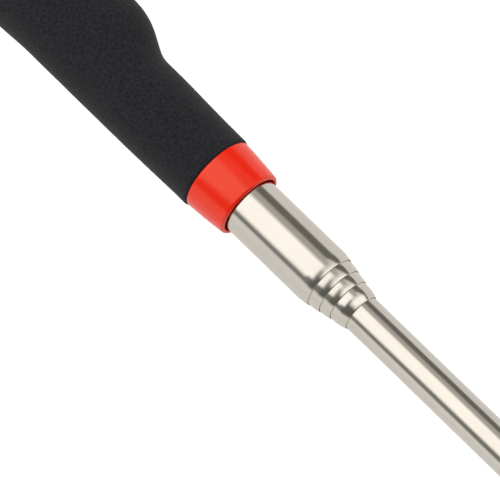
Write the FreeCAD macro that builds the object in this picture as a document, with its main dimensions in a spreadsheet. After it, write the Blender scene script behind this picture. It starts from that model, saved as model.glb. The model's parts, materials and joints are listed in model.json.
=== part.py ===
"""Telescopic reacher with a foam grip, five nested tubes and a tilting magnet head.

The tool lies along X with its tip towards +X. +Y is the side on which the grip swells
and +Z is up. The origin is the centre of the hang hole in the end cap. Millimetres.
"""
import FreeCAD, Part
import math
import os
import re

import Sketcher

os.makedirs("parts", exist_ok=True)
doc = FreeCAD.newDocument("TelescopicReacher")

# ---------------------------------------------------------------- driving dimensions

DIMENSIONS = {
    # stations along the tool, from the hang hole
    "cap_rear": 9.0,
    "tube_seat": 12.0,
    "pin_station": 17.0,
    "grip_rear": 22.0,
    "plug_front": 30.5,
    "inner_rear": 31.2,
    "grip_front": 150.0,
    "collar_shown": 12.0,
    # how far each tube's mouth stands out of the part behind it when pushed home
    "shown_1": 28.6,
    "shown_2": 3.35,
    "shown_3": 3.15,
    "shown_4": 4.6,
    "shown_5": 92.0,
    # the telescope
    "outer_radius": 8.0,
    "second_radius": 7.35,
    "third_radius": 6.68,
    "fourth_radius": 6.03,
    "fifth_radius": 5.05,
    "wall": 0.35,
    # rolled mouths: a long curve inwards and a rounded lip close to the next tube
    "mouth_gap": 0.10,
    "lip": 0.16,
    "lip_run": 0.12,
    "lip_round": 0.1667,
    "first_roll": 3.6,
    "last_roll": 3.8,
    "roll_lap": 0.25,
    "throat_length": 0.8,
    "bead_length": 1.0,
    "bead_height": 0.22,
    "tube_chamfer": 0.15,
    "fifth_length": 172.5,
    # stop rings and friction leaves behind each sliding tube's end
    "leaf_start": 1.2,
    "leaf_length": 9.4,
    "leaf_thickness": 0.10,
    "leaf_gap": 0.04,
    "leaf_angle": 158.0,
    "ring_start": 11.0,
    "ring_length": 3.0,
    "ring_chamfer_length": 0.2,
    "ring_chamfer_height": 0.12,
    "fit_gap": 0.02,
    "run_gap": 0.05,
    # foam grip
    "grip_length": 128.0,
    "grip_nose": 10.82,
    "grip_waist": 11.5,
    "grip_swell": 5.75,
    "grip_palm": 1.6,
    "grip_dip": 2.2,
    "grip_side": 12.4,
    "ellipse_margin": 0.001,
    "bore_overshoot": 1.0,
    # where the grip's shape changes, by depth behind its nose, and over what length
    "waist_length": 28.0,
    "waist_below": 0.3,
    "waist_beside": 0.4,
    "swell_start": 29.8,
    "swell_concave": 9.6,
    "swell_convex": 21.0,
    "swell_angle": 27.5,
    "side_start": 31.0,
    "side_length": 32.0,
    "dip_start": 52.0,
    "dip_length": 52.0,
    "palm_start": 58.0,
    "palm_length": 36.0,
    "tail_start": 108.0,
    "tail_length": 20.0,
    "sleeve_length": 12.0,
    "sleeve_radius": 8.97,
    # front collar
    "collar_rear_radius": 10.47,
    "collar_front_radius": 9.57,
    "collar_crown": 200.0,
    "collar_edge": 0.35,
    "collar_round": 0.75,
    "collar_mouth": 8.55,
    "collar_mouth_depth": 1.6,
    "collar_mouth_draft": 0.15,
    "collar_mouth_step": 0.3,
    # end cap, plug and pin
    "cap_half_width": 14.6,
    "cap_half_height": 12.8,
    "cap_corner": 9.0,
    "cap_shift": 1.2,
    "cap_round": 3.0,
    "cap_rim_round": 0.8,
    "tab_radius": 8.0,
    "tab_half": 4.0,
    "tab_round": 1.2,
    "tab_root": 2.0,
    "spigot_root": 2.0,
    "spigot_overlap": 1.0,
    "hang_radius": 3.0,
    "hang_round": 0.5,
    "pin_radius": 1.5,
    "pin_half": 14.2,
    "pin_chamfer": 0.3,
    "plug_wall": 2.2,
    "plug_chamfer": 0.6,
    "pad_thickness": 0.5,
    # swivelling tip
    "shank_length": 12.0,
    "socket_length": 6.5,
    "socket_radius": 5.8,
    "socket_nose": 5.0,
    "socket_nose_length": 1.0,
    "socket_chamfer_height": 0.5,
    "socket_chamfer_length": 0.6,
    "groove_start": 2.6,
    "groove_side": 0.3,
    "groove_floor": 0.6,
    "groove_depth": 0.35,
    "well_depth": 10.5,
    "well_radius": 3.3,
    "stem_radius": 2.0,
    "stem_head": 2.95,
    "stem_head_length": 2.0,
    "stem_length": 13.0,
    "stem_chamfer": 0.4,
    "stem_head_gap": 0.7,
    "cone_height": 0.3,
    "washer_gap": 0.6,
    "washer_thickness": 0.5,
    "washer_clearance": 0.15,
    "washer_rear_gap": 0.03,
    "washer_setback": 0.1,
    "fork_base": 4.5,
    "fork_chamfer": 0.8,
    "ear_root": 1.5,
    "slot_floor": 1.0,
    "fork_pivot": 10.5,
    "fork_radius": 4.6,
    "fork_half": 4.7,
    "fork_slot": 2.1,
    "fork_round": 0.6,
    "rivet_radius": 1.5,
    "rivet_head": 2.7,
    "rivet_dome": 1.2,
    # magnet head, measured from the tilt axis
    "lug_radius": 3.5,
    "lug_half": 1.7,
    "lug_washer": 0.3,
    "lug_washer_gap": 0.05,
    "lug_washer_clearance": 0.1,
    "lug_root": 1.0,
    "cup_rear": 8.0,
    "cup_radius": 11.0,
    "cup_length": 10.5,
    "cup_floor": 3.0,
    "cup_chamfer": 1.6,
    "thread_start": 0.6,
    "thread_overrun": 1.0,
    "magnet_radius": 9.2,
    "magnet_hole": 2.2,
    "magnet_proud": 0.12,
    "magnet_chamfer": 0.3,
    "sink_radius": 4.0,
    "screw_radius": 1.6,
    "screw_start": 0.7,
    "screw_sink": 0.25,
    "screw_head_gap": 0.4,
    "screw_chamfer": 0.3,
    "drive_half": 1.25,
    "drive_centre": 0.8,
    "drive_length": 1.8,
    "bumper_radius": 12.8,
    "bumper_start": 3.4,
    "bumper_setback": 0.2,
    "bumper_edge": 0.9,
}

sheet = doc.addObject("Spreadsheet::Sheet", "Dims")
for row, (alias, size) in enumerate(DIMENSIONS.items(), start=1):
    sheet.set(f"A{row}", alias)
    sheet.set(f"B{row}", str(size))
    sheet.setAlias(f"B{row}", alias)
doc.recompute()

pieces = []


def cells(expression):
    """The expression with each dimension's name turned into a reference to its cell."""
    def to_cell(match):
        word = match.group(0)
        return "Dims." + word if word in DIMENSIONS else word
    return re.sub(r"[a-z][a-z_0-9]*", to_cell, str(expression))


def number(owner, expression):
    """The value that an expression has now."""
    return float(owner.evalExpression(cells(expression)))


def bind(owner, target, expression):
    """Drives one property of an object from the sheet."""
    owner.setExpression(target, cells(expression))


# ---------------------------------------------------------------- sketches and features

def arc_between(start, end, radius, side):
    """Arc from start to end, its centre on the left or right hand of the way there."""
    chord = end - start
    middle = (start + end) * 0.5
    hand = 1 if side == "left" else -1
    across = FreeCAD.Vector(-chord.y, chord.x, 0) * (hand / chord.Length)
    centre = middle + across * math.sqrt(max(radius ** 2 - (chord.Length / 2) ** 2, 0))
    first, last = (start, end) if side == "left" else (end, start)
    first_angle = math.atan2(first.y - centre.y, first.x - centre.x)
    last_angle = math.atan2(last.y - centre.y, last.x - centre.x)
    circle = Part.Circle(centre, FreeCAD.Vector(0, 0, 1), radius)
    return Part.ArcOfCircle(circle, first_angle, last_angle)


def fix_distance(sketch, kind, geometry, point, expression):
    """Sets one coordinate of a point from the sheet, or holds it on the axis if it is zero."""
    if expression == "0":
        axis = -2 if kind == "DistanceX" else -1
        sketch.addConstraint(Sketcher.Constraint("PointOnObject", geometry, point, axis))
        return
    value = number(sketch, expression)
    if value < 0:
        constraint = Sketcher.Constraint(kind, geometry, point, -1, 1, -value)
        expression = f"-({expression})"
    else:
        constraint = Sketcher.Constraint(kind, -1, 1, geometry, point, value)
    index = sketch.addConstraint(constraint)
    bind(sketch, f"Constraints[{index}]", expression)


def draw_outline(sketch, corners):
    """Closed outline. A corner is (x, y), or (x, y, radius, side) if an arc leaves it."""
    points = [FreeCAD.Vector(number(sketch, corner[0]), number(sketch, corner[1]), 0) for corner in corners]
    ends = []
    for index, corner in enumerate(corners):
        start = points[index]
        end = points[(index + 1) % len(corners)]
        if len(corner) == 2:
            sketch.addGeometry(Part.LineSegment(start, end))
            ends.append((1, 2))
        else:
            sketch.addGeometry(arc_between(start, end, number(sketch, corner[2]), corner[3]))
            ends.append((1, 2) if corner[3] == "left" else (2, 1))
    for index, corner in enumerate(corners):
        following = (index + 1) % len(corners)
        joint = Sketcher.Constraint("Coincident", index, ends[index][1], following, ends[following][0])
        sketch.addConstraint(joint)
    for index, corner in enumerate(corners):
        fix_distance(sketch, "DistanceX", index, ends[index][0], corner[0])
        fix_distance(sketch, "DistanceY", index, ends[index][0], corner[1])
        if len(corner) == 4:
            radius = number(sketch, corner[2])
            constraint = sketch.addConstraint(Sketcher.Constraint("Radius", index, radius))
            bind(sketch, f"Constraints[{constraint}]", corner[2])


def draw_circle(sketch, across, up, radius):
    """Circle with its centre and radius set from the sheet."""
    centre = FreeCAD.Vector(number(sketch, across), number(sketch, up), 0)
    circle = Part.Circle(centre, FreeCAD.Vector(0, 0, 1), number(sketch, radius))
    geometry = sketch.addGeometry(circle)
    fix_distance(sketch, "DistanceX", geometry, 3, across)
    fix_distance(sketch, "DistanceY", geometry, 3, up)
    constraint = sketch.addConstraint(Sketcher.Constraint("Radius", geometry, circle.Radius))
    bind(sketch, f"Constraints[{constraint}]", radius)


def new_body(name, station="0"):
    """Body for one piece, its own origin at a station along the tool."""
    body = doc.addObject("PartDesign::Body", name)
    body.Label = name
    bind(body, "Placement.Base.x", station)
    pieces.append(body)
    return body


def datum(body, role):
    """One of the body's own origin planes or axes."""
    return next(feature for feature in body.Origin.OriginFeatures if feature.Role == role)


def new_sketch(body, name, plane, offset="0"):
    """Empty sketch on one of the body's planes, or at an offset from it."""
    sketch = body.newObject("Sketcher::SketchObject", name)
    sketch.AttachmentSupport = [(datum(body, plane), "")]
    sketch.MapMode = "FlatFace"
    bind(sketch, "AttachmentOffset.Base.z", offset)
    return sketch


def revolve(body, name, corners, kind="PartDesign::Revolution"):
    """Turns an outline, drawn as (along, radius), once round the body's own X axis."""
    sketch = new_sketch(body, name + "_profile", "XY_Plane")
    draw_outline(sketch, corners)
    turned = body.newObject(kind, name)
    turned.Profile = sketch
    turned.ReferenceAxis = (sketch, ["H_Axis"])
    turned.Angle = 360
    sketch.Visibility = False
    return turned


def extrude(body, sketch, name, length, kind="PartDesign::Pad"):
    """Pad or pocket that reaches half the length to each side of its sketch."""
    feature = body.newObject(kind, name)
    feature.Profile = sketch
    feature.SideType = "Symmetric"
    bind(feature, "Length", length)
    sketch.Visibility = False
    return feature


def drill(body, name, plane, across, up, radius, length, offset="0"):
    """Round hole through a body, straight across the sketch's plane."""
    sketch = new_sketch(body, name + "_profile", plane, offset)
    draw_circle(sketch, across, up, radius)
    return extrude(body, sketch, name, length, "PartDesign::Pocket")


def round_edges(body, name, radius, chosen):
    """Fillet on the edges of the body's tip that a test picks out."""
    doc.recompute()
    tip = body.Tip
    edges = [f"Edge{index}" for index, edge in enumerate(tip.Shape.Edges, start=1) if chosen(edge)]
    fillet = body.newObject("PartDesign::Fillet", name)
    fillet.Base = (tip, edges)
    bind(fillet, "Radius", radius)
    return fillet


TOLERANCE = 1e-3


def edge_lies(edge, axis, value):
    """True if an edge lies whole in one plane across the named axis."""
    box = edge.BoundBox
    low, high = {"x": (box.XMin, box.XMax), "z": (box.ZMin, box.ZMax)}[axis]
    return abs(low - value) < TOLERANCE and abs(high - value) < TOLERANCE


# ---------------------------------------------------------------- foam grip

GRIP_STATIONS = 32


def ease(depth, start, length):
    """Smooth step from 0 to 1 over a length that begins at a depth behind the grip's nose."""
    fraction = min(max((depth - start) / length, 0.0), 1.0)
    return fraction * fraction * (3 - 2 * fraction)


def bulge(depth, start, length):
    """Smooth bump from 0 up to 1 and back to 0."""
    fraction = min(max((depth - start) / length, 0.0), 1.0)
    return math.sin(math.pi * fraction) ** 2


def swell(depth):
    """Rise of the grip's upper side at a depth behind its nose, as a share of the full swell.

    A short concave arc turns into a straight ramp, and a long convex arc brings it level.
    """
    rise = DIMENSIONS["grip_swell"]
    ramp_angle = math.radians(DIMENSIONS["swell_angle"])
    concave = DIMENSIONS["swell_concave"]
    convex = DIMENSIONS["swell_convex"]
    concave_run = concave * math.sin(ramp_angle)
    concave_rise = concave * (1 - math.cos(ramp_angle))
    convex_run = convex * math.sin(ramp_angle)
    convex_rise = convex * (1 - math.cos(ramp_angle))
    ramp_run = (rise - concave_rise - convex_rise) / math.tan(ramp_angle)
    along = depth - DIMENSIONS["swell_start"]
    if along <= 0:
        return 0.0
    if along <= concave_run:
        return (concave - math.sqrt(concave ** 2 - along ** 2)) / rise
    if along <= concave_run + ramp_run:
        return (concave_rise + (along - concave_run) * math.tan(ramp_angle)) / rise
    left = concave_run + ramp_run + convex_run - along
    if left > 0:
        return (rise - (convex - math.sqrt(convex ** 2 - left ** 2))) / rise
    return 1.0


def make_foam_grip():
    """Moulded foam sleeve: round at its nose, egg-shaped where it fills the hand."""
    size = DIMENSIONS
    stations = []
    for index in range(GRIP_STATIONS + 1):
        depth = size["grip_length"] * index / GRIP_STATIONS
        waist = ease(depth, 0.0, size["waist_length"])
        palm = ease(depth, size["palm_start"], size["palm_length"])
        dip = bulge(depth, size["dip_start"], size["dip_length"])
        side = ease(depth, size["side_start"], size["side_length"])
        tail = ease(depth, size["tail_start"], size["tail_length"])
        top = (f"(grip_nose + {waist:.5f} * (grip_waist - grip_nose) + {swell(depth):.5f} * grip_swell"
               f" - {dip:.5f} * grip_dip - {tail:.5f} * grip_palm)")
        bottom = f"(grip_nose + {waist:.5f} * waist_below + {palm:.5f} * grip_palm)"
        half_height = (f"(grip_nose + {waist:.5f} * waist_beside"
                       f" + {side:.5f} * (grip_side - grip_nose - waist_beside))")
        ellipse = doc.addObject("Part::Ellipse", f"grip_section_{index}")
        ellipse.Placement = FreeCAD.Placement(FreeCAD.Vector(), FreeCAD.Rotation(FreeCAD.Vector(1, 1, 1), 120))
        bind(ellipse, "MajorRadius", f"({top} + {bottom}) / 2 + ellipse_margin")
        bind(ellipse, "MinorRadius", half_height)
        bind(ellipse, "Placement.Base.x", f"grip_length * {1 - index / GRIP_STATIONS:.6f}")
        bind(ellipse, "Placement.Base.y", f"({top} - {bottom}) / 2")
        stations.append(ellipse)
    skin = doc.addObject("Part::Loft", "grip_skin")
    skin.Sections = stations
    skin.Solid = True
    skin.Ruled = True
    bore = doc.addObject("Part::Cylinder", "grip_bore")
    bind(bore, "Radius", "outer_radius + fit_gap")
    bind(bore, "Height", "grip_length + 2 * bore_overshoot")
    sockets = []
    places = {"grip_rear_socket": "-bore_overshoot", "grip_front_socket": "grip_length - sleeve_length"}
    for name, station in places.items():
        socket = doc.addObject("Part::Cylinder", name)
        bind(socket, "Radius", "sleeve_radius + fit_gap")
        bind(socket, "Height", "sleeve_length + bore_overshoot")
        sockets.append((socket, station))
    for cylinder, station in [(bore, "-bore_overshoot")] + sockets:
        cylinder.Placement = FreeCAD.Placement(FreeCAD.Vector(), FreeCAD.Rotation(FreeCAD.Vector(0, 1, 0), 90))
        bind(cylinder, "Placement.Base.x", station)
    hollow = doc.addObject("Part::MultiFuse", "grip_hollow")
    hollow.Shapes = [bore] + [socket for socket, station in sockets]
    grip = doc.addObject("Part::Cut", "foam_grip")
    grip.Label = "foam_grip"
    grip.Base = skin
    grip.Tool = hollow
    bind(grip, "Placement.Base.x", "grip_rear")
    pieces.append(grip)


# ---------------------------------------------------------------- handle

def make_front_collar():
    """Moulded collar that ends the grip, with a thin sleeve under the foam."""
    body = new_body("front_collar", "grip_front - sleeve_length")
    revolve(body, "collar", [
        ("0", "outer_radius + fit_gap"),
        ("0", "sleeve_radius"),
        ("sleeve_length + fit_gap", "sleeve_radius"),
        ("sleeve_length + fit_gap", "collar_rear_radius - collar_edge", "collar_edge", "right"),
        ("sleeve_length + fit_gap + collar_edge", "collar_rear_radius", "collar_crown", "right"),
        ("sleeve_length + collar_shown - collar_round", "collar_front_radius", "collar_round", "right"),
        ("sleeve_length + collar_shown", "collar_front_radius - collar_round"),
        ("sleeve_length + collar_shown", "collar_mouth"),
        ("sleeve_length + collar_shown - collar_mouth_depth", "collar_mouth - collar_mouth_draft"),
        ("sleeve_length + collar_shown - collar_mouth_depth - collar_mouth_step", "outer_radius + fit_gap"),
    ])


TUBES = ("outer", "second", "third", "fourth", "fifth")


def tube_radius(order):
    """Outer radius of the tube with that place in the telescope, counted from 0."""
    return f"{TUBES[order]}_radius"


def roll_length(order):
    """How far a mouth's inward curve runs. Pushed home, it starts close to the mouth behind it."""
    return {0: "first_roll", 3: "last_roll"}.get(order, f"(shown_{order + 1} + roll_lap)")


def mouth_corners(order, length):
    """The rolled mouth of a tube: a curve inwards from the wall, a round lip, a throat and a neck."""
    radius = tube_radius(order)
    inner = f"({tube_radius(order + 1)} + mouth_gap)"
    run = f"({roll_length(order)} - lip_run)"
    drop = f"({radius} - {inner} - lip)"
    curve = f"(({run} * {run} + {drop} * {drop}) / (2 * {drop}))"
    return [
        (f"{length} - {roll_length(order)}", radius, curve, "right"),
        (f"{length} - lip_run", f"{inner} + lip", "lip_round", "right"),
        (length, inner),
        (f"{length} - throat_length", inner),
        (f"{length} - {roll_length(order)}", f"{radius} - wall"),
    ]


def mouth_station(order):
    """Where a tube's mouth lies when the telescope is pushed home."""
    shown = " + ".join(f"shown_{index}" for index in range(1, order + 2))
    return f"(grip_front + collar_shown + {shown})"


def make_outer_tube():
    """Stainless tube fixed in the grip, drilled for the cap's pin."""
    body = new_body("outer_tube", "tube_seat")
    length = f"({mouth_station(0)} - tube_seat)"
    corners = [("0", f"{tube_radius(0)} - wall"), ("0", tube_radius(0))]
    revolve(body, "outer_tube_wall", corners + mouth_corners(0, length))
    drill(body, "outer_tube_pin_hole", "XZ_Plane", "pin_station - tube_seat", "0",
          "pin_radius + fit_gap", "4 * outer_radius")


def make_end_plug():
    """Hollow nylon plug that closes the outer tube and stops the inner tubes."""
    body = new_body("end_plug", "tube_seat")
    length = "plug_front - tube_seat"
    radius = "outer_radius - wall - fit_gap"
    revolve(body, "end_plug_turned", [
        ("0", f"{radius} - plug_wall"),
        ("0", radius),
        (f"{length} - plug_chamfer", radius),
        (length, f"{radius} - plug_chamfer"),
        (length, "0"),
        (f"{length} - plug_wall", "0"),
        (f"{length} - plug_wall", f"{radius} - plug_wall"),
    ])
    drill(body, "end_plug_pin_hole", "XZ_Plane", "pin_station - tube_seat", "0",
          "pin_radius + fit_gap", "4 * outer_radius")


def make_buffer_pad():
    """Felt disc on the plug that quietens the tubes as they close."""
    body = new_body("buffer_pad", "plug_front")
    revolve(body, "buffer_pad_disc", [
        ("0", "0"),
        ("0", "outer_radius - 2 * wall"),
        ("pad_thickness", "outer_radius - 2 * wall"),
        ("pad_thickness", "0"),
    ])


def make_end_cap():
    """Moulded cap over the grip's rear end, with flats to rest on and a tab to hang by."""
    body = new_body("end_cap")
    sketch = new_sketch(body, "end_cap_outline", "YZ_Plane", "(cap_rear + grip_rear) / 2")
    left = "cap_shift - cap_half_width"
    right = "cap_shift + cap_half_width"
    draw_outline(sketch, [
        (f"{left} + cap_corner", "-cap_half_height"),
        (f"{right} - cap_corner", "-cap_half_height", "cap_corner", "left"),
        (right, "cap_corner - cap_half_height"),
        (right, "cap_half_height - cap_corner", "cap_corner", "left"),
        (f"{right} - cap_corner", "cap_half_height"),
        (f"{left} + cap_corner", "cap_half_height", "cap_corner", "left"),
        (left, "cap_half_height - cap_corner"),
        (left, "cap_corner - cap_half_height", "cap_corner", "left"),
    ])
    extrude(body, sketch, "end_cap_block", "grip_rear - cap_rear")
    rear = DIMENSIONS["cap_rear"]
    front = DIMENSIONS["grip_rear"]
    round_edges(body, "end_cap_rear_round", "cap_round", lambda edge: edge_lies(edge, "x", rear))
    round_edges(body, "end_cap_front_round", "cap_rim_round", lambda edge: edge_lies(edge, "x", front))
    tab = new_sketch(body, "hang_tab_outline", "XY_Plane")
    draw_outline(tab, [
        ("0", "tab_radius", "tab_radius", "left"),
        ("-tab_radius", "0", "tab_radius", "left"),
        ("0", "-tab_radius"),
        ("cap_rear + tab_root", "-tab_radius"),
        ("cap_rear + tab_root", "tab_radius"),
    ])
    extrude(body, tab, "hang_tab", "2 * tab_half")
    half = DIMENSIONS["tab_half"]
    hole = DIMENSIONS["hang_radius"]

    def on_tab_face(edge):
        level = edge_lies(edge, "z", half) or edge_lies(edge, "z", -half)
        return level and edge.BoundBox.XMin < rear - TOLERANCE

    def on_hole_rim(edge):
        return on_tab_face(edge) and abs(edge.BoundBox.XMax - hole) < TOLERANCE
    round_edges(body, "hang_tab_round", "tab_round", on_tab_face)
    drill(body, "hang_hole", "XY_Plane", "0", "0", "hang_radius", "4 * tab_half")
    round_edges(body, "hang_hole_round", "hang_round", on_hole_rim)
    revolve(body, "end_cap_spigot", [
        ("grip_rear - spigot_root", "outer_radius - spigot_overlap"),
        ("grip_rear - spigot_root", "sleeve_radius"),
        ("grip_rear + sleeve_length - spigot_root", "sleeve_radius"),
        ("grip_rear + sleeve_length - spigot_root", "outer_radius - spigot_overlap"),
    ])
    revolve(body, "end_cap_socket", [
        ("tube_seat - fit_gap", "0"),
        ("tube_seat - fit_gap", "outer_radius + fit_gap"),
        ("grip_rear + sleeve_length", "outer_radius + fit_gap"),
        ("grip_rear + sleeve_length", "0"),
    ], "PartDesign::Groove")
    drill(body, "end_cap_pin_hole", "XZ_Plane", "pin_station", "0", "pin_radius + fit_gap", "4 * cap_half_width")


def make_cap_pin():
    """Steel pin straight through cap, tube and plug, its ends a little below the cap's sides."""
    body = new_body("cap_pin", "pin_station")
    revolve(body, "cap_pin_turned", [
        ("-pin_half", "0"),
        ("-pin_half", "pin_radius - pin_chamfer"),
        ("pin_chamfer - pin_half", "pin_radius"),
        ("pin_half - pin_chamfer", "pin_radius"),
        ("pin_half", "pin_radius - pin_chamfer"),
        ("pin_half", "0"),
    ])
    body.Placement.Rotation = FreeCAD.Rotation(FreeCAD.Vector(0, 0, 1), 90)
    bind(body, "Placement.Base.y", "cap_shift")


# ---------------------------------------------------------------- sliding tubes

def make_sliding_tube(name, order, station):
    """One inner tube with a small bead at its rear end. The last one has a plain front end."""
    body = new_body(f"{name}_tube", station)
    radius = tube_radius(order)
    rear = [
        ("0", f"{radius} - wall"),
        ("0", f"{radius} + bead_height"),
        ("bead_length", f"{radius} + bead_height"),
        ("bead_length", radius),
    ]
    if order == len(TUBES) - 1:
        front = [
            ("fifth_length - tube_chamfer", radius),
            ("fifth_length", f"{radius} - tube_chamfer"),
            ("fifth_length", f"{radius} - wall"),
        ]
    else:
        front = mouth_corners(order, f"({mouth_station(order)} - inner_rear)")
    revolve(body, f"{name}_tube_wall", rear + front)


def make_stop_ring(name, order, station):
    """Brass ring fixed near a tube's rear end, guided by the next tube out."""
    body = new_body(f"{name}_stop_ring", station)
    inner = f"{tube_radius(order)} + 0.5 * fit_gap"
    outer = f"{tube_radius(order - 1)} - wall - run_gap"
    revolve(body, f"{name}_stop_ring_turned", [
        ("ring_start", inner),
        ("ring_start", outer),
        ("ring_start + ring_length - ring_chamfer_length", outer),
        ("ring_start + ring_length", f"{outer} - ring_chamfer_height"),
        ("ring_start + ring_length", inner),
    ])


def make_friction_leaves(name, order, station):
    """Two bowed bronze shells between a tube and the next one out, which hold it where it is put."""
    body = new_body(f"{name}_friction_leaves", station)
    inner = f"{tube_radius(order)} + fit_gap"
    rise = f"({tube_radius(order - 1)} - wall - leaf_gap - leaf_thickness - {inner})"
    bow = f"((0.25 * leaf_length * leaf_length + {rise} * {rise}) / (2 * {rise}))"
    leaf = revolve(body, f"{name}_leaf", [
        ("leaf_start", inner),
        ("leaf_start", f"{inner} + leaf_thickness", bow, "right"),
        ("leaf_start + leaf_length", f"{inner} + leaf_thickness"),
        ("leaf_start + leaf_length", inner, bow, "left"),
    ])
    leaf.Midplane = True
    bind(leaf, "Angle", "leaf_angle")
    pair = body.newObject("PartDesign::PolarPattern", f"{name}_leaf_pair")
    pair.Originals = [leaf]
    pair.Axis = (datum(body, "X_Axis"), [""])
    pair.Angle = 360
    pair.Occurrences = 2
    body.Tip = pair


# ---------------------------------------------------------------- swivel and magnet head

FIFTH_REAR = f"({mouth_station(4)} - fifth_length)"
SOCKET_REAR = f"({mouth_station(4)} - shank_length)"
SOCKET_FRONT = f"({mouth_station(4)} + socket_length)"
FORK_REAR = f"({SOCKET_FRONT} + washer_gap)"
TILT_AXIS = f"({FORK_REAR} + fork_pivot)"


def make_tip_socket():
    """Turned socket pressed into the last tube, with a stepped bore for the swivel's stem."""
    body = new_body("tip_socket", SOCKET_REAR)
    length = "(shank_length + socket_length)"
    shank = f"({tube_radius(4)} - wall - fit_gap)"
    groove = "(shank_length + groove_start)"
    revolve(body, "tip_socket_turned", [
        ("0", "well_radius"),
        ("0", shank),
        ("shank_length + fit_gap", shank),
        ("shank_length + fit_gap", "socket_radius - socket_chamfer_height"),
        ("shank_length + socket_chamfer_length", "socket_radius"),
        (groove, "socket_radius"),
        (f"{groove} + groove_side", "socket_radius - groove_depth"),
        (f"{groove} + groove_side + groove_floor", "socket_radius - groove_depth"),
        (f"{groove} + 2 * groove_side + groove_floor", "socket_radius"),
        (f"{length} - socket_nose_length", "socket_radius"),
        (length, "socket_nose"),
        (length, "stem_radius + run_gap"),
        ("well_depth", "stem_radius + run_gap"),
        ("well_depth", "well_radius"),
    ])


def make_spring_washer():
    """Coned washer that presses the stem's head away from the socket's step."""
    body = new_body("spring_washer", SOCKET_REAR)
    revolve(body, "spring_washer_cone", [
        ("well_depth - fit_gap - 2 * cone_height", "stem_radius + washer_clearance"),
        ("well_depth - fit_gap - cone_height", "stem_radius + washer_clearance"),
        ("well_depth - fit_gap", "stem_head"),
        ("well_depth - fit_gap - cone_height", "stem_head"),
    ])


def make_swivel_washer():
    """Nylon washer between the socket's nose and the fork."""
    body = new_body("swivel_washer", SOCKET_FRONT)
    revolve(body, "swivel_washer_disc", [
        ("washer_rear_gap", "stem_radius + washer_clearance"),
        ("washer_rear_gap", "socket_nose - washer_setback"),
        ("washer_rear_gap + washer_thickness", "socket_nose - washer_setback"),
        ("washer_rear_gap + washer_thickness", "stem_radius + washer_clearance"),
    ])


def make_swivel_stem():
    """Headed stem, free to turn in the socket and screwed into the fork."""
    body = new_body("swivel_stem", f"{SOCKET_REAR} + well_depth - stem_head_gap - stem_head_length")
    revolve(body, "swivel_stem_turned", [
        ("0", "0"),
        ("0", "stem_head - stem_chamfer"),
        ("stem_chamfer", "stem_head"),
        ("stem_head_length", "stem_head"),
        ("stem_head_length", "stem_radius"),
        ("stem_length + stem_head_length - stem_chamfer", "stem_radius"),
        ("stem_length + stem_head_length", "stem_radius - stem_chamfer"),
        ("stem_length + stem_head_length", "0"),
    ])


def make_swivel_fork():
    """Fork with two ears for the tilting head, turning about the tool's axis."""
    body = new_body("swivel_fork", FORK_REAR)
    revolve(body, "fork_base_turned", [
        ("0", "0"),
        ("0", "socket_nose"),
        ("fork_chamfer", "socket_radius"),
        ("fork_base - fork_chamfer", "socket_radius"),
        ("fork_base", "socket_nose"),
        ("fork_base", "0"),
    ])
    ears = new_sketch(body, "fork_ears_outline", "XY_Plane")
    draw_outline(ears, [
        ("ear_root", "-fork_radius"),
        ("fork_pivot", "-fork_radius", "fork_radius", "left"),
        ("fork_pivot + fork_radius", "0", "fork_radius", "left"),
        ("fork_pivot", "fork_radius"),
        ("ear_root", "fork_radius"),
    ])
    extrude(body, ears, "fork_ears", "2 * fork_half")
    half = DIMENSIONS["fork_half"]
    base = DIMENSIONS["fork_base"]

    def on_ear_rim(edge):
        level = edge_lies(edge, "z", half) or edge_lies(edge, "z", -half)
        return level and edge.BoundBox.XMax > base + TOLERANCE
    round_edges(body, "fork_ears_round", "fork_round", on_ear_rim)
    slot = new_sketch(body, "fork_slot_outline", "XZ_Plane")
    draw_outline(slot, [
        ("fork_base + slot_floor", "-fork_slot"),
        ("fork_pivot + 2 * fork_radius", "-fork_slot"),
        ("fork_pivot + 2 * fork_radius", "fork_slot"),
        ("fork_base + slot_floor", "fork_slot"),
    ])
    extrude(body, slot, "fork_slot_cut", "4 * fork_radius", "PartDesign::Pocket")
    drill(body, "fork_rivet_hole", "XY_Plane", "fork_pivot", "0", "rivet_radius + fit_gap", "4 * fork_half")
    revolve(body, "fork_stem_hole", [
        ("0", "0"),
        ("0", "stem_radius + fit_gap"),
        ("fork_base + slot_floor", "stem_radius + fit_gap"),
        ("fork_base + slot_floor", "0"),
    ], "PartDesign::Groove")


def make_tilt_rivet():
    """Rivet through the fork and the head's lug, domed at both ends."""
    body = new_body("tilt_rivet", TILT_AXIS)
    dome = "((rivet_head * rivet_head + rivet_dome * rivet_dome) / (2 * rivet_dome))"
    seat = "(fork_half + 0.5 * fit_gap)"
    revolve(body, "tilt_rivet_turned", [
        (f"-{seat} - rivet_dome", "0", dome, "right"),
        (f"-{seat}", "rivet_head"),
        (f"-{seat}", "rivet_radius"),
        (seat, "rivet_radius"),
        (seat, "rivet_head", dome, "right"),
        (f"{seat} + rivet_dome", "0"),
    ])
    body.Placement.Rotation = FreeCAD.Rotation(FreeCAD.Vector(0, 1, 0), -90)


def make_lug_washers():
    """Two thin bronze washers, one each side of the lug, which make the tilt stiff."""
    body = new_body("lug_washers", TILT_AXIS)
    sketch = new_sketch(body, "lug_washer_outline", "XY_Plane", "lug_half + lug_washer_gap + lug_washer / 2")
    draw_circle(sketch, "0", "0", "lug_radius")
    draw_circle(sketch, "0", "0", "rivet_radius + lug_washer_clearance")
    washer = extrude(body, sketch, "lug_washer_disc", "lug_washer")
    doc.recompute()
    mirrored = body.newObject("PartDesign::Mirrored", "lug_washer_pair")
    mirrored.Originals = [washer]
    mirrored.MirrorPlane = (datum(body, "XY_Plane"), [""])
    body.Tip = mirrored


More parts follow.
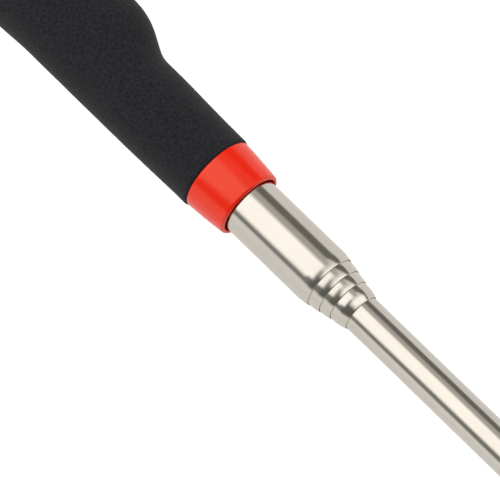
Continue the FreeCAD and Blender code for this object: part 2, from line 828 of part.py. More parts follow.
def make_magnet_housing():
    """Steel cup for the magnet, with a lug behind it on the tilt axis."""
    body = new_body("magnet_housing", TILT_AXIS)
    front = "(cup_rear + cup_length)"
    revolve(body, "magnet_cup", [
        ("cup_rear", "0"),
        ("cup_rear", "cup_radius - cup_chamfer"),
        ("cup_rear + cup_chamfer", "cup_radius"),
        (front, "cup_radius"),
        (front, "magnet_radius + fit_gap"),
        ("cup_rear + cup_floor", "magnet_radius + fit_gap"),
        ("cup_rear + cup_floor", "0"),
    ])
    lug = new_sketch(body, "tilt_lug_outline", "XY_Plane")
    draw_outline(lug, [
        ("0", "lug_radius", "lug_radius", "left"),
        ("-lug_radius", "0", "lug_radius", "left"),
        ("0", "-lug_radius"),
        ("cup_rear + lug_root", "-lug_radius"),
        ("cup_rear + lug_root", "lug_radius"),
    ])
    extrude(body, lug, "tilt_lug", "2 * lug_half")
    drill(body, "tilt_lug_hole", "XY_Plane", "0", "0", "rivet_radius + run_gap", "4 * lug_half")
    revolve(body, "magnet_screw_thread", [
        ("cup_rear + thread_start", "0"),
        ("cup_rear + thread_start", "screw_radius + fit_gap"),
        ("cup_rear + cup_floor + thread_overrun", "screw_radius + fit_gap"),
        ("cup_rear + cup_floor + thread_overrun", "0"),
    ], "PartDesign::Groove")


def make_magnet():
    """Magnet ring, countersunk for its screw and a little proud of the cup."""
    body = new_body("magnet", f"{TILT_AXIS} + cup_rear + cup_floor")
    depth = "(cup_length - cup_floor + magnet_proud)"
    revolve(body, "magnet_ring", [
        ("fit_gap", "magnet_hole"),
        ("fit_gap", "magnet_radius"),
        (f"{depth} - magnet_chamfer", "magnet_radius"),
        (depth, "magnet_radius - magnet_chamfer"),
        (depth, "sink_radius"),
        (f"{depth} - (sink_radius - magnet_hole)", "magnet_hole"),
    ])


DRIVE_TURN = 10.0


def make_magnet_screw():
    """Countersunk screw with a hexagon socket that holds the magnet in its cup."""
    body = new_body("magnet_screw", f"{TILT_AXIS} + cup_rear + screw_start")
    face = "(cup_length + magnet_proud - screw_start - screw_sink)"
    head = "(sink_radius - screw_head_gap)"
    revolve(body, "magnet_screw_turned", [
        ("0", "0"),
        ("0", "screw_radius - screw_chamfer"),
        ("screw_chamfer", "screw_radius"),
        (f"{face} - ({head} - screw_radius)", "screw_radius"),
        (face, head),
        (face, "0"),
    ])
    drive = new_sketch(body, "magnet_screw_drive", "YZ_Plane", f"{face} - drive_centre")
    corner = 1 / math.cos(math.radians(30))
    angles = [math.radians(60 * step + DRIVE_TURN) for step in range(6)]
    draw_outline(drive, [
        (f"{corner * math.cos(angle):.5f} * drive_half", f"{corner * math.sin(angle):.5f} * drive_half")
        for angle in angles
    ])
    extrude(body, drive, "magnet_screw_hexagon", "drive_length", "PartDesign::Pocket")


def make_bumper_ring():
    """Plastic ring round the cup that keeps it from scratching and the tool off the table."""
    body = new_body("bumper_ring", f"{TILT_AXIS} + cup_rear")
    front = "(cup_length - bumper_setback)"
    revolve(body, "bumper_ring_moulded", [
        ("bumper_start", "cup_radius + fit_gap"),
        ("bumper_start", "bumper_radius - bumper_edge", "bumper_edge", "right"),
        ("bumper_start + bumper_edge", "bumper_radius"),
        (f"{front} - bumper_edge", "bumper_radius", "bumper_edge", "right"),
        (front, "bumper_radius - bumper_edge"),
        (front, "cup_radius + fit_gap"),
    ])


# ---------------------------------------------------------------- build, check and write

make_foam_grip()
make_front_collar()
make_outer_tube()
make_end_plug()
make_buffer_pad()
make_end_cap()
make_cap_pin()
for order, name in enumerate(("second", "third", "fourth", "fifth"), start=1):
    station = FIFTH_REAR if name == "fifth" else "inner_rear"
    make_sliding_tube(name, order, station)
    make_stop_ring(name, order, station)
    make_friction_leaves(name, order, station)
make_tip_socket()
make_spring_washer()
make_swivel_washer()
make_swivel_stem()
make_swivel_fork()
make_tilt_rivet()
make_lug_washers()
make_magnet_housing()
make_magnet()
make_magnet_screw()
make_bumper_ring()
doc.recompute()

for item in doc.Objects:
    if "Invalid" in item.State or "Error" in item.State:
        raise RuntimeError(f"{item.Label} failed: {item.State}")
for piece in pieces:
    if piece.Shape.isNull() or not piece.Shape.isValid():
        raise RuntimeError(f"{piece.Label} has no valid shape")
for piece in pieces:
    piece.Shape.exportStep(f"parts/{piece.Label}.step")
    box = piece.Shape.BoundBox
    print(f"{piece.Label:24s} x {box.XMin:8.2f} {box.XMax:8.2f}  y {box.YMin:7.2f} {box.YMax:7.2f}"
          f"  z {box.ZMin:7.2f} {box.ZMax:7.2f}  {piece.Shape.Volume:10.2f} mm3")
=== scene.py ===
"""Studio scene of the telescopic reacher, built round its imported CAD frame.

Profiles and other sizes are in millimetres and become metres where meshes are made.
Depths along the grip are measured back from its nose.
"""
import json
import math

import bmesh
import bpy
from mathutils import Matrix, Vector, noise


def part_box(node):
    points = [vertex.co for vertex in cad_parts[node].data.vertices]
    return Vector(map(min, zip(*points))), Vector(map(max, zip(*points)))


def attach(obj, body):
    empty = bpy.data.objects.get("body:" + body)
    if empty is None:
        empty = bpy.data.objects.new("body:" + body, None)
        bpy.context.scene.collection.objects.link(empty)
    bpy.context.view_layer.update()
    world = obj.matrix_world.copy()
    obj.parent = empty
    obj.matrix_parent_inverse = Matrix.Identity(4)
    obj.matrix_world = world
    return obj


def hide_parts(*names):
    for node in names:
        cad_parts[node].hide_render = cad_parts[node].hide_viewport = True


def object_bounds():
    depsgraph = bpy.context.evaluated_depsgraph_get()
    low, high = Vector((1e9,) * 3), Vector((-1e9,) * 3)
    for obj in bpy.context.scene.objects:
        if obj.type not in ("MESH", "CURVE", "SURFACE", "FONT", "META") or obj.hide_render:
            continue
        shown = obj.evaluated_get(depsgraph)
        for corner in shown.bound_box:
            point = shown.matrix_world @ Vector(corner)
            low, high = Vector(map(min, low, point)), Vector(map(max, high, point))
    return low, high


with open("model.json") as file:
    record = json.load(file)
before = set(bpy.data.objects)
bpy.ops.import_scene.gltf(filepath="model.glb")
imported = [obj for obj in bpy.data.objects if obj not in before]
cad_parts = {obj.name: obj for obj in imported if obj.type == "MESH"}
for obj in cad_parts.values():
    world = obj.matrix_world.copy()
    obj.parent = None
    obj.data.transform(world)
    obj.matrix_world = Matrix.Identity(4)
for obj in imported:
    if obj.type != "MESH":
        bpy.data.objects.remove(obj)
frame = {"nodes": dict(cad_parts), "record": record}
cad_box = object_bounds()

MM = 0.001
SLOT_OF = {part["node"]: part["material_slot"] for part in frame["record"]["subparts"]}


def extent(node):
    """Lowest and highest corners of a CAD node, in millimetres."""
    low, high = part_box(node)
    return low / MM, high / MM


# ---------------------------------------------------------------- shader helpers

# Most of a noise pattern's values lie between these.
NOISE_LOW = 0.3
NOISE_HIGH = 0.7
EDGE_SAMPLES = 6


def new_material(name):
    """Node material, its tree and its Principled shader."""
    material = bpy.data.materials.new(name)
    material.use_nodes = True
    return material, material.node_tree, material.node_tree.nodes["Principled BSDF"]


def set_inputs(node, **values):
    """Sets inputs of a node by name, with _ for each space."""
    for key, value in values.items():
        node.inputs[key.replace("_", " ")].default_value = value


def add(tree, kind, settings=None, **values):
    """Adds a node, with settings for its own properties and values for its inputs."""
    node = tree.nodes.new(kind)
    for key, value in (settings or {}).items():
        setattr(node, key, value)
    set_inputs(node, **values)
    return node


def pattern(tree, scale, detail=3.0, roughness=0.55):
    """Noise in the object's own space, with its own scale along each axis (per metre)."""
    place = add(tree, "ShaderNodeTexCoord")
    stretch = add(tree, "ShaderNodeMapping", Scale=scale)
    grain = add(tree, "ShaderNodeTexNoise", Scale=1.0, Detail=detail, Roughness=roughness)
    tree.links.new(place.outputs["Object"], stretch.inputs["Vector"])
    tree.links.new(stretch.outputs["Vector"], grain.inputs["Vector"])
    return grain.outputs["Fac"]


def ranged(tree, source, low, high, start=NOISE_LOW, end=NOISE_HIGH, smooth=False):
    """Maps a source's values from start to end onto values from low to high."""
    kind = "SMOOTHSTEP" if smooth else "LINEAR"
    node = add(tree, "ShaderNodeMapRange", {"interpolation_type": kind},
               From_Min=start, From_Max=end, To_Min=low, To_Max=high)
    tree.links.new(source, node.inputs["Value"])
    return node.outputs["Result"]


def mixed(tree, factor, first, second):
    """Blends two colours, given as sockets or as (r, g, b)."""
    mix = add(tree, "ShaderNodeMix", {"data_type": "RGBA"})
    tree.links.new(factor, mix.inputs["Factor"])
    for socket, colour in ((mix.inputs[6], first), (mix.inputs[7], second)):
        if isinstance(colour, tuple):
            socket.default_value = (*colour, 1)
        else:
            tree.links.new(colour, socket)
    return mix.outputs[2]


def maths(tree, operation, *sources):
    """A Math node fed with sockets."""
    node = add(tree, "ShaderNodeMath", {"operation": operation})
    for place, source in enumerate(sources):
        tree.links.new(source, node.inputs[place])
    return node.outputs[0]


def paint(tree, shader, tone, roughness):
    """Feeds a shader's colour and roughness."""
    tree.links.new(tone, shader.inputs["Base Color"])
    tree.links.new(roughness, shader.inputs["Roughness"])


def bumped(tree, shader, height, strength, depth, edge=0.0):
    """Surface relief whose depth is in millimetres, with sharp edges eased by a small radius."""
    node = add(tree, "ShaderNodeBump", Strength=strength, Distance=depth * MM)
    tree.links.new(height, node.inputs["Height"])
    if edge:
        eased = add(tree, "ShaderNodeBevel", {"samples": EDGE_SAMPLES}, Radius=edge * MM)
        tree.links.new(eased.outputs["Normal"], node.inputs["Normal"])
    tree.links.new(node.outputs["Normal"], shader.inputs["Normal"])


# ---------------------------------------------------------------- materials

def drawn_steel():
    """Polished tube steel: fine marks along its length and faint clouding."""
    material, tree, shader = new_material("stainless")
    cloud = pattern(tree, (70, 240, 240))
    grain = pattern(tree, (90, 6000, 6000), detail=4.0)
    tone = mixed(tree, ranged(tree, cloud, 0, 1), (0.556, 0.534, 0.498), (0.583, 0.563, 0.525))
    paint(tree, shader, tone, ranged(tree, grain, 0.09, 0.17))
    set_inputs(shader, Metallic=1.0)
    bumped(tree, shader, grain, strength=0.06, depth=0.02)
    return material


def red_plastic():
    """Glossy orange-red moulded plastic with a very fine skin."""
    material, tree, shader = new_material("red_plastic")
    cloud = pattern(tree, (260, 260, 260))
    skin = pattern(tree, (1500, 1500, 1500), detail=2.0)
    tone = mixed(tree, ranged(tree, cloud, 0, 1), (0.96, 0.0120, 0.0010), (1.0, 0.0148, 0.0018))
    paint(tree, shader, tone, ranged(tree, skin, 0.16, 0.24))
    set_inputs(shader, Specular_IOR_Level=0.56, Specular_Tint=(1.0, 1.0, 0.7, 1.0))
    bumped(tree, shader, skin, strength=0.08, depth=0.02)
    return material


def closed_foam():
    """Dark closed-cell foam: matte, finely grained, with a few pale specks."""
    material, tree, shader = new_material("foam")
    cells = pattern(tree, (1500, 1500, 1500), detail=6.0, roughness=0.72)
    pores = pattern(tree, (900, 900, 900), detail=3.0, roughness=0.6)
    dust = pattern(tree, (3800, 3800, 3800), detail=2.0, roughness=0.5)
    share = ranged(tree, cells, 0, 1, start=0.36, end=0.64)
    skin = mixed(tree, share, (0.0044, 0.0048, 0.0070), (0.0266, 0.0292, 0.0375))
    speck = ranged(tree, dust, 0, 0.7, start=0.66, end=0.76)
    tone = mixed(tree, speck, skin, (0.085, 0.085, 0.085))
    paint(tree, shader, tone, ranged(tree, cells, 0.78, 0.95))
    set_inputs(shader, Specular_IOR_Level=0.22, Sheen_Weight=0.06, Sheen_Roughness=0.5)
    bumped(tree, shader, maths(tree, "ADD", cells, pores), strength=0.55, depth=0.12)
    return material


def moulded(name, colour, roughness, grain=700):
    """Moulded or pressed material with a fine grain."""
    material, tree, shader = new_material(name)
    cloud = pattern(tree, (grain, grain, grain))
    darker = tuple(0.78 * part for part in colour)
    tone = mixed(tree, ranged(tree, cloud, 0, 1), darker, colour)
    paint(tree, shader, tone, ranged(tree, cloud, roughness - 0.08, roughness + 0.05))
    bumped(tree, shader, cloud, strength=0.2, depth=0.05, edge=0.2)
    return material


def machined(name, colour, roughness, scale=(7000, 300, 300), shade=0.84):
    """Turned, ground or rolled metal; its marks run across the axis with the high scale."""
    material, tree, shader = new_material(name)
    marks = pattern(tree, scale)
    darker = tuple(shade * part for part in colour)
    tone = mixed(tree, ranged(tree, marks, 0, 1), darker, colour)
    paint(tree, shader, tone, ranged(tree, marks, roughness - 0.05, roughness + 0.06))
    set_inputs(shader, Metallic=1.0)
    bumped(tree, shader, marks, strength=0.07, depth=0.02, edge=0.15)
    return material


EVEN = (1500, 1500, 1500)
FINE = (4000, 4000, 4000)
FINISH = {
    "stainless": drawn_steel(),
    "plated": machined("plated", (0.70, 0.69, 0.66), roughness=0.17),
    "spring_steel": machined("spring_steel", (0.52, 0.52, 0.52), roughness=0.24),
    "dark_steel": machined("dark_steel", (0.09, 0.09, 0.10), roughness=0.34, scale=EVEN),
    "brass": machined("brass", (0.74, 0.52, 0.21), roughness=0.22),
    "bronze": machined("bronze", (0.60, 0.34, 0.16), roughness=0.28, scale=EVEN),
    "magnet": machined("magnet", (0.60, 0.60, 0.61), roughness=0.17, scale=FINE, shade=0.95),
    "black_nylon": moulded("black_nylon", (0.021, 0.021, 0.022), roughness=0.5),
    "white_nylon": moulded("white_nylon", (0.72, 0.71, 0.67), roughness=0.45),
    "felt": moulded("felt", (0.20, 0.20, 0.19), roughness=0.94, grain=2500),
    "red_plastic": red_plastic(),
    "foam": closed_foam(),
}

for name, node in frame["nodes"].items():
    node.data.materials.clear()
    node.data.materials.append(FINISH[SLOT_OF[name]])


# ---------------------------------------------------------------- mesh helpers

def arc(start, end, radius, side, steps):
    """Points of an arc after its start, with its centre to the left or right of the way there."""
    chord = math.dist(start, end)
    along = ((end[0] - start[0]) / chord, (end[1] - start[1]) / chord)
    turn = 1 if side == "left" else -1
    offset = turn * math.sqrt(max(radius ** 2 - chord ** 2 / 4, 0.0))
    centre = ((start[0] + end[0]) / 2 - along[1] * offset, (start[1] + end[1]) / 2 + along[0] * offset)
    first = math.atan2(start[1] - centre[1], start[0] - centre[0])
    sweep = math.atan2(end[1] - centre[1], end[0] - centre[0]) - first
    sweep = math.remainder(sweep, 2 * math.pi)
    return [(centre[0] + radius * math.cos(first + sweep * step / steps),
             centre[1] + radius * math.sin(first + sweep * step / steps))
            for step in range(1, steps + 1)]


def skinned(rings):
    """Closed surface through rings of points in millimetres, the last ring joined to the first."""
    shape = bmesh.new()
    loops = [[shape.verts.new(Vector(point) * MM) for point in ring] for ring in rings]
    for first, second in zip(loops, loops[1:] + loops[:1]):
        count = len(first)
        for step in range(count):
            after = (step + 1) % count
            shape.faces.new((first[step], first[after], second[after], second[step]))
    return shape


def turned(profile, segments):
    """Revolves a closed profile of (x, radius) about the X axis."""
    angles = [2 * math.pi * step / segments for step in range(segments)]
    return skinned([[(x, radius * math.cos(angle), radius * math.sin(angle)) for angle in angles]
                    for x, radius in profile])


def stand_in(shape, node, body, crease):
    """Makes the shape a piece that stands for a CAD node, sharp only where it bends by the crease."""
    bmesh.ops.recalc_face_normals(shape, faces=shape.faces)
    mesh = bpy.data.meshes.new(f"{node}_shape")
    shape.to_mesh(mesh)
    shape.free()
    mesh.shade_smooth()
    mesh.set_sharp_from_angle(angle=math.radians(crease))
    piece = bpy.data.objects.new(f"{node}_detailed", mesh)
    bpy.context.scene.collection.objects.link(piece)
    mesh.materials.append(FINISH[SLOT_OF[node]])
    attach(piece, body)
    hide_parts(node)
    return piece


# ---------------------------------------------------------------- telescope

TUBES = ("outer_tube", "second_tube", "third_tube", "fourth_tube", "fifth_tube")
TUBE_SEGMENTS = 160
TUBE_CREASE = 32
WALL = 0.35
MOUTH_GAP = 0.10
LIP = 0.16
LIP_RUN = 0.12
LIP_ROUND = 0.1667
LIP_STEPS = 10
FIRST_ROLL = 3.6
LAST_ROLL = 3.8
ROLL_LAP = 0.25
ROLL_STEPS = 28
THROAT = 0.8
BEAD_LENGTH = 1.0
BEAD_HEIGHT = 0.22
END_CHAMFER = 0.15


def tube_radius(order):
    """Outer radius of a tube, without the bead at its rear end."""
    radius = extent(TUBES[order])[1].y
    return radius if order == 0 else radius - BEAD_HEIGHT


def roll_length(order):
    """How far the inward curve of a tube's mouth runs."""
    if order == 0:
        return FIRST_ROLL
    if order == len(TUBES) - 2:
        return LAST_ROLL
    return extent(TUBES[order])[1].x - extent(TUBES[order - 1])[1].x + ROLL_LAP


def mouth_profile(order):
    """Rolled mouth of a tube: a curve inwards from its wall, a round lip, a throat and a neck."""
    radius = tube_radius(order)
    inner = tube_radius(order + 1) + MOUTH_GAP
    mouth = extent(TUBES[order])[1].x
    roll = roll_length(order)
    run = roll - LIP_RUN
    drop = radius - inner - LIP
    curve = (run ** 2 + drop ** 2) / (2 * drop)
    roll_start = (mouth - roll, radius)
    lip_start = (mouth - LIP_RUN, inner + LIP)
    points = [roll_start]
    points += arc(roll_start, lip_start, curve, "right", ROLL_STEPS)
    points += arc(lip_start, (mouth, inner), LIP_ROUND, "right", LIP_STEPS)
    points += [(mouth - THROAT, inner), (mouth - roll, radius - WALL)]
    return points


def make_tube(order, body):
    """One steel tube of the telescope: the inner ones have a bead at their rear end."""
    low, high = extent(TUBES[order])
    rear, mouth = low.x, high.x
    radius = tube_radius(order)
    if order == 0:
        points = [(rear, radius - WALL), (rear, radius)]
    else:
        points = [
            (rear, radius - WALL),
            (rear, radius + BEAD_HEIGHT),
            (rear + BEAD_LENGTH, radius + BEAD_HEIGHT),
            (rear + BEAD_LENGTH, radius),
        ]
    if order == len(TUBES) - 1:
        points += [(mouth - END_CHAMFER, radius), (mouth, radius - END_CHAMFER), (mouth, radius - WALL)]
    else:
        points += mouth_profile(order)
    return stand_in(turned(points, TUBE_SEGMENTS), TUBES[order], body, TUBE_CREASE)


for order, name in enumerate(TUBES):
    make_tube(order, "handle" if order == 0 else name.replace("_tube", "_section"))


# ---------------------------------------------------------------- collar

COLLAR_SEGMENTS = 192
COLLAR_CREASE = 32
COLLAR_SHOWN = 12.0
COLLAR_SEAM = 0.02
COLLAR_EDGE = 0.35
COLLAR_ROUND = 0.75
COLLAR_FRONT = 9.57
COLLAR_CROWN = 200.0
COLLAR_MOUTH = 8.55
COLLAR_MOUTH_DEPTH = 1.6
COLLAR_MOUTH_DRAFT = 0.15
COLLAR_MOUTH_STEP = 0.3
COLLAR_MOUTH_CHAMFER = 0.08
EDGE_STEPS = 8
CROWN_STEPS = 14
FRONT_STEPS = 12
SLEEVE = 8.97
TUBE_BORE = 8.02


def make_collar():
    """Moulded collar: rounded rear edge, gentle crown, rounded front lip and a sleeve behind."""
    low, high = extent("front_collar")
    rear = high.x - COLLAR_SHOWN + COLLAR_SEAM
    widest = high.y
    edge = (rear, widest - COLLAR_EDGE)
    crown = (rear + COLLAR_EDGE, widest)
    lip = (high.x - COLLAR_ROUND, COLLAR_FRONT)
    points = [(low.x, TUBE_BORE), (low.x, SLEEVE), (rear, SLEEVE), edge]
    points += arc(edge, crown, COLLAR_EDGE, "right", EDGE_STEPS)
    points += arc(crown, lip, COLLAR_CROWN, "right", CROWN_STEPS)
    points += arc(lip, (high.x, COLLAR_FRONT - COLLAR_ROUND), COLLAR_ROUND, "right", FRONT_STEPS)
    points += [
        (high.x, COLLAR_MOUTH + COLLAR_MOUTH_CHAMFER),
        (high.x - COLLAR_MOUTH_CHAMFER, COLLAR_MOUTH),
        (high.x - COLLAR_MOUTH_DEPTH, COLLAR_MOUTH - COLLAR_MOUTH_DRAFT),
        (high.x - COLLAR_MOUTH_DEPTH - COLLAR_MOUTH_STEP, TUBE_BORE),
    ]
    return stand_in(turned(points, COLLAR_SEGMENTS), "front_collar", "handle", COLLAR_CREASE)


make_collar()


# ---------------------------------------------------------------- foam grip

GRIP_SEGMENTS = 200
GRIP_STATIONS = 240
GRIP_CREASE = 50
GRIP_NOSE = 10.82
GRIP_WAIST = 11.5
GRIP_SWELL = 5.75
GRIP_PALM = 1.6
GRIP_DIP = 2.2
GRIP_SIDE = 12.4
# Where the grip's shape changes, by depth, and over what length.
WAIST_LENGTH = 28.0
WAIST_BELOW = 0.3
WAIST_BESIDE = 0.4
SWELL_START = 29.8
SWELL_CONCAVE = 9.6
SWELL_CONVEX = 21.0
SWELL_ANGLE = math.radians(27.5)
SIDE_START = 31.0
SIDE_LENGTH = 32.0
DIP_START = 52.0
DIP_LENGTH = 52.0
PALM_START = 58.0
PALM_LENGTH = 36.0
TAIL_START = 108.0
TAIL_LENGTH = 20.0
# Its rims, the pockets that hold the collar's and the cap's sleeves, and the uneven waves in its
# skin (height, and waves per millimetre), which fade out over some rings at both ends.
NOSE_ROUND = 0.8
REAR_ROUND = 1.2
RIM_STEPS = 8
POCKET = 8.99
SLEEVE_LENGTH = 12.0
SKIN_WAVES = ((0.05, 0.12), (0.02, 0.9))
SKIN_FADE = 14


def ease(depth, start, length):
    """Smooth step from 0 to 1 over a length that begins at a depth."""
    share = min(max((depth - start) / length, 0.0), 1.0)
    return share * share * (3 - 2 * share)


def bulge(depth, start, length):
    """Smooth hump from 0 to 1 and back over a length that begins at a depth."""
    return math.sin(math.pi * min(max((depth - start) / length, 0.0), 1.0)) ** 2


def swell(depth):
    """Rise of the grip's upper side: a concave arc, a straight ramp and a long convex arc."""
    along = depth - SWELL_START
    concave_run = SWELL_CONCAVE * math.sin(SWELL_ANGLE)
    concave_rise = SWELL_CONCAVE * (1 - math.cos(SWELL_ANGLE))
    convex_run = SWELL_CONVEX * math.sin(SWELL_ANGLE)
    convex_rise = SWELL_CONVEX * (1 - math.cos(SWELL_ANGLE))
    ramp_run = (GRIP_SWELL - concave_rise - convex_rise) / math.tan(SWELL_ANGLE)
    if along <= 0:
        return 0.0
    if along <= concave_run:
        return SWELL_CONCAVE - math.sqrt(SWELL_CONCAVE ** 2 - along ** 2)
    if along <= concave_run + ramp_run:
        return concave_rise + (along - concave_run) * math.tan(SWELL_ANGLE)
    left = concave_run + ramp_run + convex_run - along
    if left > 0:
        return GRIP_SWELL - (SWELL_CONVEX - math.sqrt(SWELL_CONVEX ** 2 - left ** 2))
    return GRIP_SWELL


def grip_section(depth):
    """Centre, half width and half height of the grip at a depth."""
    waist = ease(depth, 0.0, WAIST_LENGTH)
    side = ease(depth, SIDE_START, SIDE_LENGTH)
    dip = bulge(depth, DIP_START, DIP_LENGTH)
    palm = ease(depth, PALM_START, PALM_LENGTH)
    tail = ease(depth, TAIL_START, TAIL_LENGTH)
    top = GRIP_NOSE + waist * (GRIP_WAIST - GRIP_NOSE) + swell(depth) - dip * GRIP_DIP - tail * GRIP_PALM
    bottom = GRIP_NOSE + WAIST_BELOW * waist + palm * GRIP_PALM
    half_height = GRIP_NOSE + WAIST_BESIDE * waist + side * (GRIP_SIDE - GRIP_NOSE - WAIST_BESIDE)
    return (top - bottom) / 2, (top + bottom) / 2, half_height


def rim(radius):
    """Distance from the grip's end and inset of each step of a rounded rim, the end face last."""
    turns = [math.pi / 2 * step / RIM_STEPS for step in range(RIM_STEPS + 1)]
    return [(radius * (1 - math.sin(turn)), radius * (1 - math.cos(turn))) for turn in turns]


def uneven(rings):
    """The rings with their points moved in and out a little."""
    moved = []
    for index, points in enumerate(rings):
        fade = min(min(index, len(rings) - 1 - index) / SKIN_FADE, 1.0)
        ring = []
        for point in points:
            place = Vector(point)
            height = sum(size * noise.noise(place * rate) for size, rate in SKIN_WAVES)
            outward = Vector((0, point[1], point[2])).normalized()
            ring.append(place - outward * fade * height)
        moved.append(ring)
    return moved


def make_grip():
    """Foam sleeve with soft rims, a slightly uneven skin and a stepped bore."""
    low, high = extent("foam_grip")
    length = high.x - low.x
    angles = [2 * math.pi * step / GRIP_SEGMENTS for step in range(GRIP_SEGMENTS)]

    def ring(depth, inset):
        centre, half_width, half_height = grip_section(depth)
        return [(high.x - depth, centre + (half_width - inset) * math.cos(angle),
                 (half_height - inset) * math.sin(angle)) for angle in angles]

    def bore(depth, radius):
        return [(high.x - depth, radius * math.cos(angle), radius * math.sin(angle)) for angle in angles]

    span = length - NOSE_ROUND - REAR_ROUND
    skin = [ring(distance, inset) for distance, inset in reversed(rim(NOSE_ROUND))]
    skin += [ring(NOSE_ROUND + span * step / GRIP_STATIONS, 0.0) for step in range(1, GRIP_STATIONS)]
    skin += [ring(length - distance, inset) for distance, inset in rim(REAR_ROUND)]
    hollow = [
        bore(length, POCKET),
        bore(length - SLEEVE_LENGTH, POCKET),
        bore(length - SLEEVE_LENGTH, TUBE_BORE),
        bore(SLEEVE_LENGTH, TUBE_BORE),
        bore(SLEEVE_LENGTH, POCKET),
        bore(0.0, POCKET),
    ]
    piece = stand_in(skinned(uneven(skin) + hollow), "foam_grip", "handle", GRIP_CREASE)
    return piece


make_grip()


# ---------------------------------------------------------------- studio light

ROOM = (0.78, 0.75, 0.72)
STUDIO_POWER = 1.36
# Soft boxes and dark cards round the tool. Each has the angles it spans about the tool's axis (0
# overhead, 90 level on the +Y side), the angles it spans along it (towards +X), how soft its edges
# are about and along the axis, its lean and its colour. A later card covers an earlier one. A lean
# is how far the first and the last edge turn about the axis, and the angles along it between which
# they turn.
STRAIGHT = ((0, 0), (0, 1))
CARDS = {
    "far_end": ((-180, 180), (28, 95), (1, 5), STRAIGHT, (0.17, 0.165, 0.15)),
    "dark_strip": ((-64, -28), (-95, 6), (6, 8), STRAIGHT, (0.20, 0.205, 0.185)),
    "dark_end": ((-66, -10), (-4, 60), (10, 4), STRAIGHT, (0.12, 0.12, 0.11)),
    "dark_gap": ((-22, 14), (-4, 5), (12, 4), STRAIGHT, (0.17, 0.165, 0.155)),
    "grey_panel": ((20, 52), (-95, 0), (6, 6), STRAIGHT, (0.46, 0.44, 0.40)),
    "soft_box": ((-46, 30), (-95, -2), (8, 4), ((12, 0), (-17, -11.5)), (1.27, 1.23, 1.16)),
    "dark_card": ((53, 88), (-95, 19), (8, 6), ((20, 22), (-12, 4)), (0.155, 0.15, 0.135)),
    "end_soft_box": ((4, 76), (5, 26), (10, 4), STRAIGHT, (1.24, 1.19, 1.10)),
}


def window(tree, first, last, span, soft):
    """1 between the two soft edges of a span and 0 outside; each edge is measured on its own angle."""
    rise = ranged(tree, first, 0, 1, span[0] - soft, span[0] + soft, smooth=True)
    fall = ranged(tree, last, 1, 0, span[1] - soft, span[1] + soft, smooth=True)
    return maths(tree, "MULTIPLY", rise, fall)


def leaned(tree, around, along, turn, span):
    """The angle about the axis, less a turn that grows over a span of angles along it."""
    if not turn:
        return around
    return maths(tree, "SUBTRACT", around, ranged(tree, along, 0, turn, *span))


def make_world():
    """Studio of soft boxes and dark cards by direction; the camera itself sees plain white."""
    world = bpy.data.worlds.new("studio")
    bpy.context.scene.world = world
    world.use_nodes = True
    tree = world.node_tree
    place = add(tree, "ShaderNodeTexCoord")
    split = add(tree, "ShaderNodeSeparateXYZ")
    tree.links.new(place.outputs["Generated"], split.inputs["Vector"])
    around = maths(tree, "DEGREES", maths(tree, "ARCTAN2", split.outputs["Y"], split.outputs["Z"]))
    along = maths(tree, "DEGREES", maths(tree, "ARCSINE", split.outputs["X"]))
    colour = ROOM
    for around_span, along_span, softness, (turns, turn_span), tone in CARDS.values():
        first, last = (leaned(tree, around, along, turn, turn_span) for turn in turns)
        across = window(tree, first, last, around_span, softness[0])
        mask = maths(tree, "MULTIPLY", across, window(tree, along, along, along_span, softness[1]))
        colour = mixed(tree, mask, colour, tone)
    studio = tree.nodes["Background"]
    set_inputs(studio, Strength=STUDIO_POWER)
    tree.links.new(colour, studio.inputs["Color"])
    white = add(tree, "ShaderNodeBackground", Color=(1, 1, 1, 1))
    path = add(tree, "ShaderNodeLightPath")
    choose = add(tree, "ShaderNodeMixShader")
    tree.links.new(path.outputs["Is Camera Ray"], choose.inputs[0])
    tree.links.new(studio.outputs[0], choose.inputs[1])
    tree.links.new(white.outputs[0], choose.inputs[2])
    tree.links.new(choose.outputs[0], tree.nodes["World Output"].inputs["Surface"])


make_world()


# ---------------------------------------------------------------- floor

FLOOR_RADIUS = 14.0
FLOOR_SEGMENTS = 64
FLOOR_TONES = ((0.78, 0.78, 0.78), (0.80, 0.80, 0.80))
FLOOR_GLOW = 0.27
FLOOR_GLOW_SEEN = 0.75


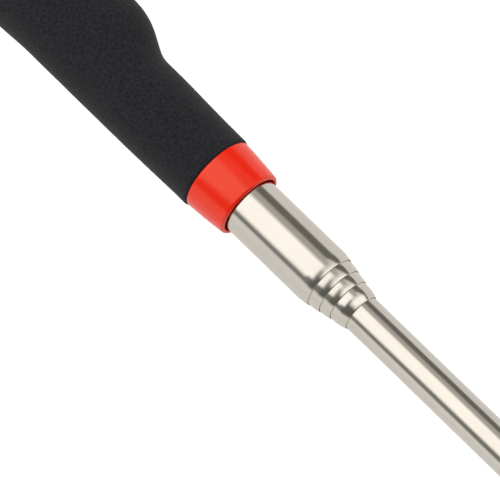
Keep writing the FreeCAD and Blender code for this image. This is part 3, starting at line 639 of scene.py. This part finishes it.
def make_floor():
    """Plain pale floor under the tool, overexposed for the camera like a white sweep."""
    mesh = bpy.data.meshes.new("floor")
    shape = bmesh.new()
    bmesh.ops.create_circle(shape, cap_ends=True, radius=FLOOR_RADIUS, segments=FLOOR_SEGMENTS)
    shape.to_mesh(mesh)
    shape.free()
    floor = bpy.data.objects.new("floor", mesh)
    bpy.context.scene.collection.objects.link(floor)
    middle = (cad_box[0] + cad_box[1]) / 2
    floor.location = (middle.x, middle.y, cad_box[0].z)
    material, tree, shader = new_material("floor")
    tone = mixed(tree, pattern(tree, (300, 300, 300), detail=2.0), *FLOOR_TONES)
    tree.links.new(tone, shader.inputs["Base Color"])
    set_inputs(shader, Roughness=0.9, Specular_IOR_Level=0.0, Emission_Color=(1, 1, 1, 1))
    path = add(tree, "ShaderNodeLightPath")
    glow = ranged(tree, path.outputs["Is Camera Ray"], FLOOR_GLOW, FLOOR_GLOW_SEEN, start=0, end=1)
    tree.links.new(glow, shader.inputs["Emission Strength"])
    mesh.materials.append(material)


make_floor()


# ---------------------------------------------------------------- camera

CAMERA_LEAN = math.radians(17.25)
CAMERA_ROLL = math.radians(44.23)
CAMERA_DISTANCE = 780.0
TARGET_AHEAD = 8.03
TARGET_ASIDE = -7.87
SENSOR_WIDTH = 36
FOCAL_LENGTH = 226.9


def make_camera():
    """Camera above the tool, leaning towards its tip and rolled so that the tool runs diagonally."""
    along = Vector((math.cos(CAMERA_LEAN), 0, -math.sin(CAMERA_LEAN)))
    across = Vector((0, 1, 0))
    back = Vector((math.sin(CAMERA_LEAN), 0, math.cos(CAMERA_LEAN)))
    right = along * math.cos(CAMERA_ROLL) + across * math.sin(CAMERA_ROLL)
    up = across * math.cos(CAMERA_ROLL) - along * math.sin(CAMERA_ROLL)
    target = Vector((extent("front_collar")[1].x + TARGET_AHEAD, TARGET_ASIDE, 0))
    data = bpy.data.cameras.new("camera")
    data.sensor_width = SENSOR_WIDTH
    data.lens = FOCAL_LENGTH
    data.clip_start = 0.01
    data.clip_end = 50
    camera = bpy.data.objects.new("camera", data)
    bpy.context.scene.collection.objects.link(camera)
    rotation = Matrix((right, up, back)).transposed()
    camera.matrix_world = Matrix.Translation((target + CAMERA_DISTANCE * back) * MM) @ rotation.to_4x4()
    bpy.context.scene.camera = camera


make_camera()
bpy.context.scene.view_settings.view_transform = "Standard"
